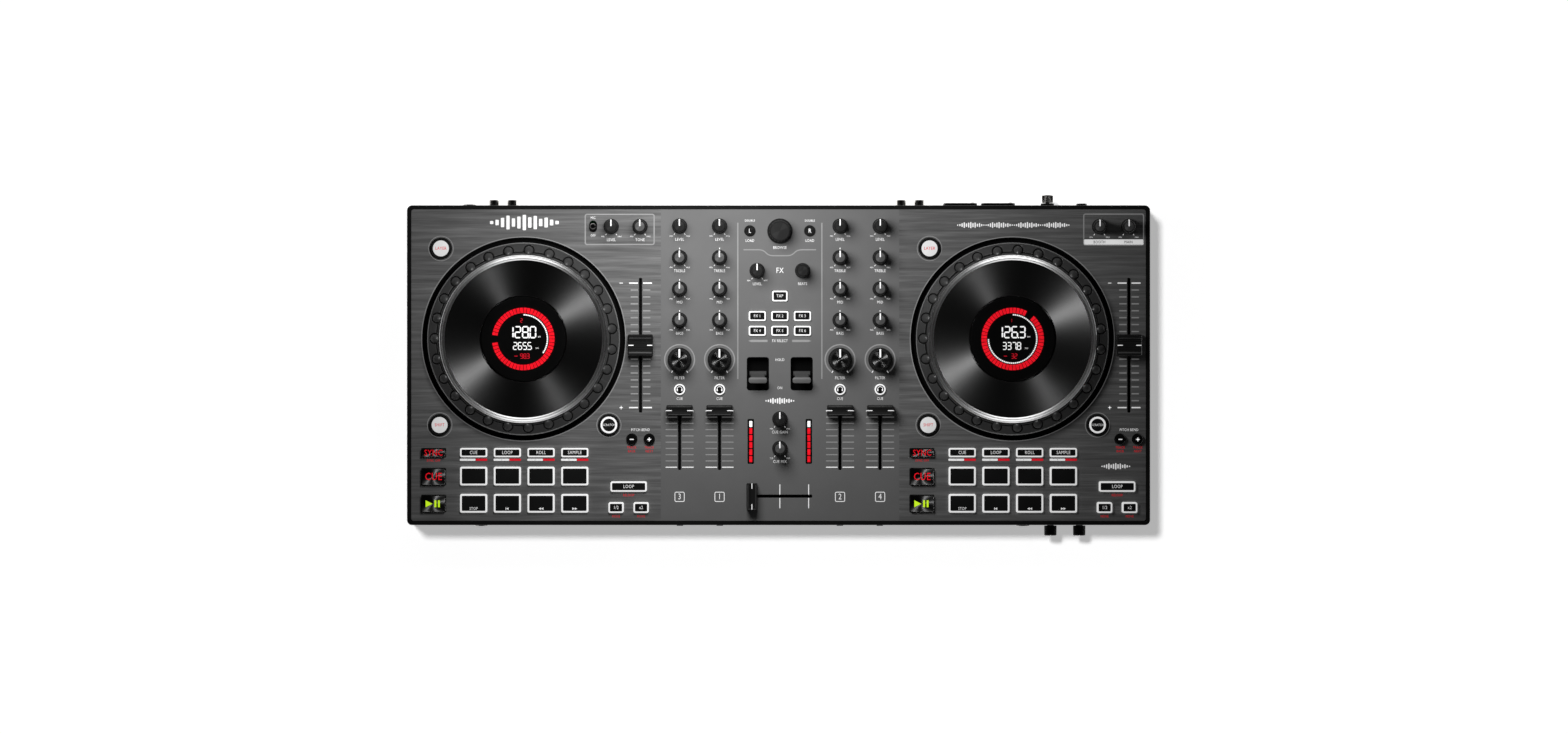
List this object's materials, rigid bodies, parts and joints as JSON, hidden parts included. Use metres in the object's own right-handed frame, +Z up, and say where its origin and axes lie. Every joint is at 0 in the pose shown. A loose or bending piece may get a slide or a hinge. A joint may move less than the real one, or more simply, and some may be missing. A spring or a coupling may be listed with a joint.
{
  "type": "dj controller",
  "caption": "Flat tabletop DJ controller: two jog decks with round displays, pads and pitch faders either side of a channel mixer with knobs, faders and effect paddles.",
  "frame": {"origin": "on the floor plane, under the middle of the case", "axes": "+X to the user's right along the length, +Y away from the user to the rear sockets, +Z up"},
  "size_m": [0.573, 0.2636, 0.0652],
  "materials": {
    "case": "fine moulded texture",
    "panel": "brushed gunmetal, matte grey over the mixer",
    "board": "green solder mask",
    "sockets": "black mouldings and bright nickel shells",
    "display": "polished black window",
    "jog": "turned black disc, silver ring, grey grip",
    "cap": "satin black",
    "knob": "soft-touch black with a white pointer",
    "pad": "matte silicone",
    "key": "gloss black",
    "paddle": "satin silver grey",
    "toggle": "polished",
    "rubber": "matte"
  },
  "bodies": {
    "chassis": {"bottom_case": "case", "top_shell": "case", "face_plate": "panel", "main_board": "board", "rear_jack_board": "sockets", "front_jack_board": "sockets", "left_jog_display": "display", "right_jog_display": "display", "foot_front_left": "rubber", "foot_front_right": "rubber", "foot_rear_left": "rubber", "foot_rear_right": "rubber"},
    "left_jog_wheel": {"left_jog_wheel": "jog"},
    "right_jog_wheel": {"right_jog_wheel": "jog"},
    "left_pitch_fader": {"left_pitch_fader": "cap"},
    "right_pitch_fader": {"right_pitch_fader": "cap"},
    "channel_3_fader": {"channel_3_fader": "cap"},
    "channel_1_fader": {"channel_1_fader": "cap"},
    "channel_2_fader": {"channel_2_fader": "cap"},
    "channel_4_fader": {"channel_4_fader": "cap"},
    "crossfader": {"crossfader": "cap"},
    "left_effect_paddle": {"left_effect_paddle": "paddle"},
    "right_effect_paddle": {"right_effect_paddle": "paddle"},
    "left_pads": {"left_pads": "pad"},
    "left_keys": {"left_keys": "key"},
    "right_pads": {"right_pads": "pad"},
    "right_keys": {"right_keys": "key"},
    "mixer_keys": {"mixer_keys": "key"},
    "mic_toggle": {"mic_toggle": "toggle"},
    "browse_encoder": {"browse_encoder": "knob"},
    "beats_encoder": {"beats_encoder": "knob"},
    "effect_level_knob": {"effect_level_knob": "knob"},
    "cue_gain_knob": {"cue_gain_knob": "knob"},
    "cue_mix_knob": {"cue_mix_knob": "knob"},
    "headphone_gain_knob": {"headphone_gain_knob": "knob"},
    "headphone_mix_knob": {"headphone_mix_knob": "knob"},
    "channel_3_filter_knob": {"channel_3_filter_knob": "knob"},
    "channel_1_filter_knob": {"channel_1_filter_knob": "knob"},
    "channel_2_filter_knob": {"channel_2_filter_knob": "knob"},
    "channel_4_filter_knob": {"channel_4_filter_knob": "knob"},
    "channel_3_level_knob": {"channel_3_level_knob": "knob"},
    "channel_1_level_knob": {"channel_1_level_knob": "knob"},
    "channel_2_level_knob": {"channel_2_level_knob": "knob"},
    "channel_4_level_knob": {"channel_4_level_knob": "knob"},
    "channel_3_high_knob": {"channel_3_high_knob": "knob"},
    "channel_1_high_knob": {"channel_1_high_knob": "knob"},
    "channel_2_high_knob": {"channel_2_high_knob": "knob"},
    "channel_4_high_knob": {"channel_4_high_knob": "knob"},
    "channel_3_mid_knob": {"channel_3_mid_knob": "knob"},
    "channel_1_mid_knob": {"channel_1_mid_knob": "knob"},
    "channel_2_mid_knob": {"channel_2_mid_knob": "knob"},
    "channel_4_mid_knob": {"channel_4_mid_knob": "knob"},
    "channel_3_low_knob": {"channel_3_low_knob": "knob"},
    "channel_1_low_knob": {"channel_1_low_knob": "knob"},
    "channel_2_low_knob": {"channel_2_low_knob": "knob"},
    "channel_4_low_knob": {"channel_4_low_knob": "knob"},
    "mic_level_knob": {"mic_level_knob": "knob"},
    "mic_tone_knob": {"mic_tone_knob": "knob"},
    "booth_knob": {"booth_knob": "knob"},
    "main_knob": {"main_knob": "knob"}
  },
  "joints": [
    {"name": "left_jog_turn", "type": "hinge", "parent": "chassis", "child": "left_jog_wheel", "pos_m": [-0.1965, 0.0202, 0.055], "axis": [0, 0, 1], "continuous": true},
    {"name": "right_jog_turn", "type": "hinge", "parent": "chassis", "child": "right_jog_wheel", "pos_m": [0.1802, 0.0202, 0.055], "axis": [0, 0, 1], "continuous": true},
    {"name": "left_pitch_slide", "type": "slide", "parent": "chassis", "child": "left_pitch_fader", "axis": [0, 1, 0], "range_m": [-0.048, 0.048]},
    {"name": "right_pitch_slide", "type": "slide", "parent": "chassis", "child": "right_pitch_fader", "axis": [0, 1, 0], "range_m": [-0.048, 0.048]},
    {"name": "channel_3_slide", "type": "slide", "parent": "chassis", "child": "channel_3_fader", "axis": [0, 1, 0], "range_m": [-0.0433, 0]},
    {"name": "channel_1_slide", "type": "slide", "parent": "chassis", "child": "channel_1_fader", "axis": [0, 1, 0], "range_m": [-0.0433, 0]},
    {"name": "channel_2_slide", "type": "slide", "parent": "chassis", "child": "channel_2_fader", "axis": [0, 1, 0], "range_m": [-0.0433, 0]},
    {"name": "channel_4_slide", "type": "slide", "parent": "chassis", "child": "channel_4_fader", "axis": [0, 1, 0], "range_m": [-0.0433, 0]},
    {"name": "crossfader_slide", "type": "slide", "parent": "chassis", "child": "crossfader", "axis": [1, 0, 0], "range_m": [0, 0.0438]},
    {"name": "left_paddle_tilt", "type": "hinge", "parent": "chassis", "child": "left_effect_paddle", "pos_m": [-0.0159, -0.0067, 0.044], "axis": [1, 0, 0], "range_deg": [-35, 15], "stiffness_Nm_per_rad": 0.02},
    {"name": "right_paddle_tilt", "type": "hinge", "parent": "chassis", "child": "right_effect_paddle", "pos_m": [0.0179, -0.0067, 0.044], "axis": [1, 0, 0], "range_deg": [-35, 15], "stiffness_Nm_per_rad": 0.02},
    {"name": "left_pads_press", "type": "slide", "parent": "chassis", "child": "left_pads", "axis": [0, 0, 1], "range_m": [-0.0012, 0], "stiffness_N_per_m": 600, "springref_m": 0.0015},
    {"name": "left_keys_press", "type": "slide", "parent": "chassis", "child": "left_keys", "axis": [0, 0, 1], "range_m": [-0.0012, 0], "stiffness_N_per_m": 600, "springref_m": 0.0015},
    {"name": "right_pads_press", "type": "slide", "parent": "chassis", "child": "right_pads", "axis": [0, 0, 1], "range_m": [-0.0012, 0], "stiffness_N_per_m": 600, "springref_m": 0.0015},
    {"name": "right_keys_press", "type": "slide", "parent": "chassis", "child": "right_keys", "axis": [0, 0, 1], "range_m": [-0.0012, 0], "stiffness_N_per_m": 600, "springref_m": 0.0015},
    {"name": "mixer_keys_press", "type": "slide", "parent": "chassis", "child": "mixer_keys", "axis": [0, 0, 1], "range_m": [-0.0012, 0], "stiffness_N_per_m": 500, "springref_m": 0.0015},
    {"name": "mic_toggle_tilt", "type": "hinge", "parent": "chassis", "child": "mic_toggle", "pos_m": [-0.143, 0.107, 0.045], "axis": [1, 0, 0], "range_deg": [-12, 12]},
    {"name": "browse_turn", "type": "hinge", "parent": "chassis", "child": "browse_encoder", "pos_m": [0.001, 0.1034, 0.05], "axis": [0, 0, 1], "continuous": true},
    {"name": "beats_turn", "type": "hinge", "parent": "chassis", "child": "beats_encoder", "pos_m": [0.0185, 0.0729, 0.05], "axis": [0, 0, 1], "continuous": true},
    {"name": "effect_level_turn", "type": "hinge", "parent": "chassis", "child": "effect_level_knob", "pos_m": [-0.0165, 0.0729, 0.05], "axis": [0, 0, 1], "range_deg": [-150, 150]},
    {"name": "cue_gain_turn", "type": "hinge", "parent": "chassis", "child": "cue_gain_knob", "pos_m": [0.001, -0.0414, 0.05], "axis": [0, 0, 1], "range_deg": [-150, 150]},
    {"name": "cue_mix_turn", "type": "hinge", "parent": "chassis", "child": "cue_mix_knob", "pos_m": [0.001, -0.0641, 0.05], "axis": [0, 0, 1], "range_deg": [-150, 150]},
    {"name": "headphone_gain_turn", "type": "hinge", "parent": "chassis", "child": "headphone_gain_knob", "pos_m": [0.2103, -0.127, 0.026], "axis": [0, -1, 0], "range_deg": [-150, 150]},
    {"name": "headphone_mix_turn", "type": "hinge", "parent": "chassis", "child": "headphone_mix_knob", "pos_m": [0.2326, -0.127, 0.026], "axis": [0, -1, 0], "range_deg": [-150, 150]},
    {"name": "channel_3_filter_turn", "type": "hinge", "parent": "chassis", "child": "channel_3_filter_knob", "pos_m": [-0.0763, 0.0043, 0.05], "axis": [0, 0, 1], "range_deg": [-150, 150]},
    {"name": "channel_1_filter_turn", "type": "hinge", "parent": "chassis", "child": "channel_1_filter_knob", "pos_m": [-0.0455, 0.0043, 0.05], "axis": [0, 0, 1], "range_deg": [-150, 150]},
    {"name": "channel_2_filter_turn", "type": "hinge", "parent": "chassis", "child": "channel_2_filter_knob", "pos_m": [0.0474, 0.0043, 0.05], "axis": [0, 0, 1], "range_deg": [-150, 150]},
    {"name": "channel_4_filter_turn", "type": "hinge", "parent": "chassis", "child": "channel_4_filter_knob", "pos_m": [0.0783, 0.0043, 0.05], "axis": [0, 0, 1], "range_deg": [-150, 150]},
    {"name": "channel_3_level_turn", "type": "hinge", "parent": "chassis", "child": "channel_3_level_knob", "pos_m": [-0.0763, 0.1072, 0.05], "axis": [0, 0, 1], "range_deg": [-150, 150]},
    {"name": "channel_1_level_turn", "type": "hinge", "parent": "chassis", "child": "channel_1_level_knob", "pos_m": [-0.0455, 0.1072, 0.05], "axis": [0, 0, 1], "range_deg": [-150, 150]},
    {"name": "channel_2_level_turn", "type": "hinge", "parent": "chassis", "child": "channel_2_level_knob", "pos_m": [0.0474, 0.1072, 0.05], "axis": [0, 0, 1], "range_deg": [-150, 150]},
    {"name": "channel_4_level_turn", "type": "hinge", "parent": "chassis", "child": "channel_4_level_knob", "pos_m": [0.0783, 0.1072, 0.05], "axis": [0, 0, 1], "range_deg": [-150, 150]},
    {"name": "channel_3_high_turn", "type": "hinge", "parent": "chassis", "child": "channel_3_high_knob", "pos_m": [-0.0763, 0.083, 0.05], "axis": [0, 0, 1], "range_deg": [-150, 150]},
    {"name": "channel_1_high_turn", "type": "hinge", "parent": "chassis", "child": "channel_1_high_knob", "pos_m": [-0.0455, 0.083, 0.05], "axis": [0, 0, 1], "range_deg": [-150, 150]},
    {"name": "channel_2_high_turn", "type": "hinge", "parent": "chassis", "child": "channel_2_high_knob", "pos_m": [0.0474, 0.083, 0.05], "axis": [0, 0, 1], "range_deg": [-150, 150]},
    {"name": "channel_4_high_turn", "type": "hinge", "parent": "chassis", "child": "channel_4_high_knob", "pos_m": [0.0783, 0.083, 0.05], "axis": [0, 0, 1], "range_deg": [-150, 150]},
    {"name": "channel_3_mid_turn", "type": "hinge", "parent": "chassis", "child": "channel_3_mid_knob", "pos_m": [-0.0763, 0.0588, 0.05], "axis": [0, 0, 1], "range_deg": [-150, 150]},
    {"name": "channel_1_mid_turn", "type": "hinge", "parent": "chassis", "child": "channel_1_mid_knob", "pos_m": [-0.0455, 0.0588, 0.05], "axis": [0, 0, 1], "range_deg": [-150, 150]},
    {"name": "channel_2_mid_turn", "type": "hinge", "parent": "chassis", "child": "channel_2_mid_knob", "pos_m": [0.0474, 0.0588, 0.05], "axis": [0, 0, 1], "range_deg": [-150, 150]},
    {"name": "channel_4_mid_turn", "type": "hinge", "parent": "chassis", "child": "channel_4_mid_knob", "pos_m": [0.0783, 0.0588, 0.05], "axis": [0, 0, 1], "range_deg": [-150, 150]},
    {"name": "channel_3_low_turn", "type": "hinge", "parent": "chassis", "child": "channel_3_low_knob", "pos_m": [-0.0763, 0.0348, 0.05], "axis": [0, 0, 1], "range_deg": [-150, 150]},
    {"name": "channel_1_low_turn", "type": "hinge", "parent": "chassis", "child": "channel_1_low_knob", "pos_m": [-0.0455, 0.0348, 0.05], "axis": [0, 0, 1], "range_deg": [-150, 150]},
    {"name": "channel_2_low_turn", "type": "hinge", "parent": "chassis", "child": "channel_2_low_knob", "pos_m": [0.0474, 0.0348, 0.05], "axis": [0, 0, 1], "range_deg": [-150, 150]},
    {"name": "channel_4_low_turn", "type": "hinge", "parent": "chassis", "child": "channel_4_low_knob", "pos_m": [0.0783, 0.0348, 0.05], "axis": [0, 0, 1], "range_deg": [-150, 150]},
    {"name": "mic_level_turn", "type": "hinge", "parent": "chassis", "child": "mic_level_knob", "pos_m": [-0.129, 0.1069, 0.05], "axis": [0, 0, 1], "range_deg": [-150, 150]},
    {"name": "mic_tone_turn", "type": "hinge", "parent": "chassis", "child": "mic_tone_knob", "pos_m": [-0.1068, 0.1069, 0.05], "axis": [0, 0, 1], "range_deg": [-150, 150]},
    {"name": "booth_turn", "type": "hinge", "parent": "chassis", "child": "booth_knob", "pos_m": [0.2474, 0.1068, 0.05], "axis": [0, 0, 1], "range_deg": [-150, 150]},
    {"name": "main_turn", "type": "hinge", "parent": "chassis", "child": "main_knob", "pos_m": [0.2698, 0.1068, 0.05], "axis": [0, 0, 1], "range_deg": [-150, 150]}
  ]
}
